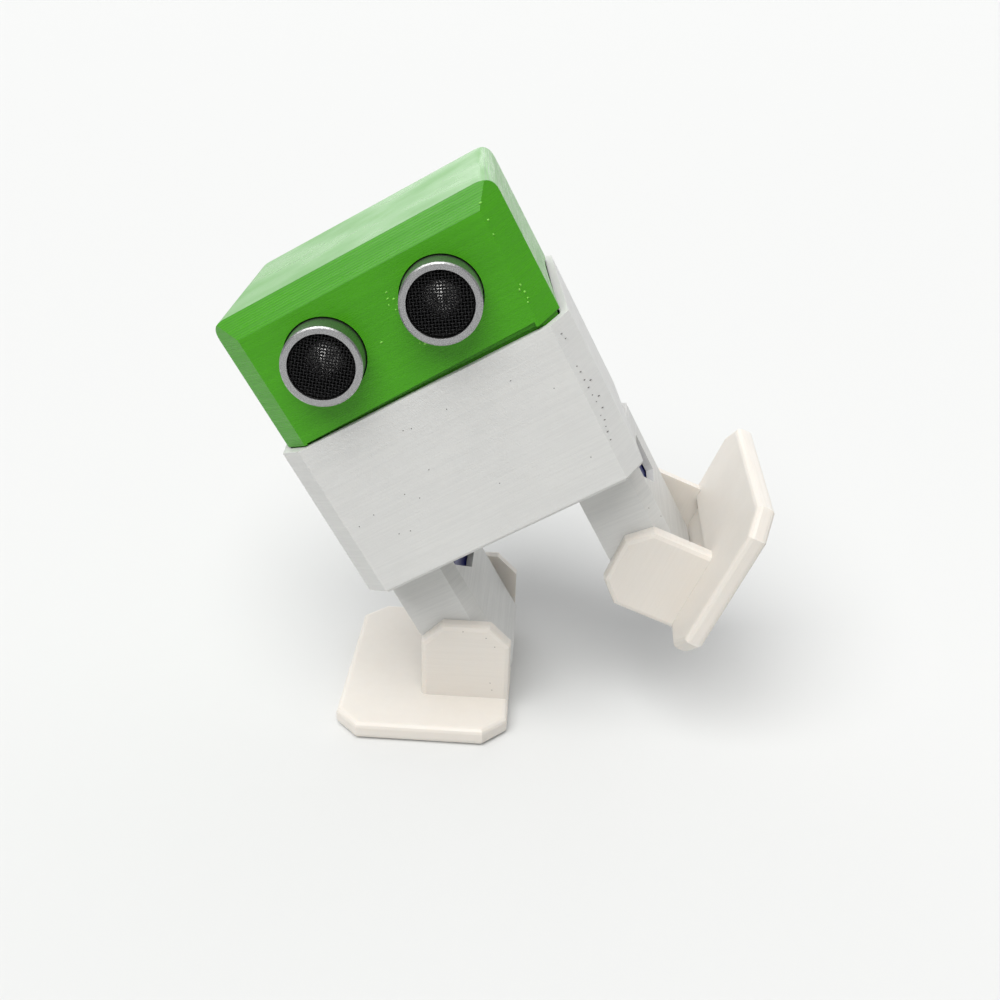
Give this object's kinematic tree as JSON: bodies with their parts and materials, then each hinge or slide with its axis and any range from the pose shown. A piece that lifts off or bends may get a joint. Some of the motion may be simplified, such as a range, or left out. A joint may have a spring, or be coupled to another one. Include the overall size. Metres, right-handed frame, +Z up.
{
  "type": "walking robot",
  "caption": "Small bipedal walking robot with a boxy head, round ultrasonic eyes, servo-driven hips and ankles and broad flat feet, standing on its right foot.",
  "frame": {"origin": "middle of the right foot's sole, which rests on the floor", "axes": "+Z up from the sole, -Y out of the foot's toe edge, which is the robot's front, +X to the robot's left"},
  "size_m": [0.1208, 0.0718, 0.1258],
  "materials": {
    "green_print": "layered print, slightly glossy",
    "white_print": "layered print, satin",
    "foot_print": "smooth print, satin",
    "servo_case": "glossy, slightly see-through",
    "horn_nylon": "moulded, satin",
    "sensor_can": "drawn, satin",
    "sensor_grille": "dark woven mesh",
    "steel": "satin",
    "battery_sleeve": "plain sleeve, satin",
    "blue_board": "solder mask",
    "green_board": "solder mask",
    "wire": "matt insulation",
    "black_plastic": "moulded"
  },
  "bodies": {
    "torso": {"body_shell": "white_print", "battery_holder": "black_plastic", "battery_cell_1": "battery_sleeve", "battery_cell_2": "battery_sleeve", "battery_cell_3": "battery_sleeve", "battery_cell_4": "battery_sleeve", "power_switch_body": "steel", "right_hip_servo": "servo_case", "right_hip_servo_screw_1": "steel", "right_hip_servo_screw_2": "steel", "right_hip_servo_lead": "wire", "left_hip_servo": "servo_case", "left_hip_servo_screw_1": "steel", "left_hip_servo_screw_2": "steel", "left_hip_servo_lead": "wire", "head_shell": "green_print", "sensor_board": "blue_board", "sensor_header": "black_plastic", "shield_board": "green_board", "shield_screw_1": "steel", "shield_screw_2": "steel", "shield_screw_3": "steel", "shield_screw_4": "steel", "shield_socket_1": "black_plastic", "shield_socket_2": "black_plastic", "controller_board": "blue_board", "usb_socket": "steel", "buzzer": "black_plastic", "right_eye_can": "sensor_can", "right_eye_grille": "sensor_grille", "right_eye_cone": "sensor_can", "left_eye_can": "sensor_can", "left_eye_grille": "sensor_grille", "left_eye_cone": "sensor_can"},
    "switch_slider": {"power_switch_slider": "black_plastic"},
    "right_leg": {"right_leg": "white_print", "right_ankle_servo": "servo_case", "right_ankle_servo_screw_1": "steel", "right_ankle_servo_screw_2": "steel", "right_hip_horn": "horn_nylon", "right_hip_horn_screw": "steel"},
    "right_foot": {"right_foot": "foot_print", "right_ankle_horn": "horn_nylon", "right_ankle_horn_screw": "steel"},
    "left_leg": {"left_leg": "white_print", "left_ankle_servo": "servo_case", "left_ankle_servo_screw_1": "steel", "left_ankle_servo_screw_2": "steel", "left_hip_horn": "horn_nylon", "left_hip_horn_screw": "steel"},
    "left_foot": {"left_foot": "foot_print", "left_ankle_horn": "horn_nylon", "left_ankle_horn_screw": "steel"}
  },
  "joints": [
    {"name": "right_hip", "type": "hinge", "parent": "torso", "child": "right_leg", "pos_m": [-0.00544, 0.0034, 0.04121], "axis": [-0.4856, 0, 0.8742], "range_deg": [-35.18, 44.82]},
    {"name": "right_ankle", "type": "hinge", "parent": "right_leg", "child": "right_foot", "pos_m": [0.0084, 0.0034, 0.0163], "axis": [0, 1, 0], "range_deg": [-89.05, 30.95]},
    {"name": "left_hip", "type": "hinge", "parent": "torso", "child": "left_leg", "pos_m": [0.03655, 0.00745, 0.06454], "axis": [-0.4856, 0, 0.8742], "range_deg": [-33.25, 46.75]},
    {"name": "left_ankle", "type": "hinge", "parent": "left_leg", "child": "left_foot", "pos_m": [0.05039, 0.00745, 0.03962], "axis": [0.0294, 0.9994, 0.0164], "range_deg": [-20.28, 99.72]},
    {"name": "power_switch", "type": "slide", "parent": "torso", "child": "switch_slider", "axis": [0.8711, 0.084, 0.4839], "range_m": [0, 0.002]}
  ]
}
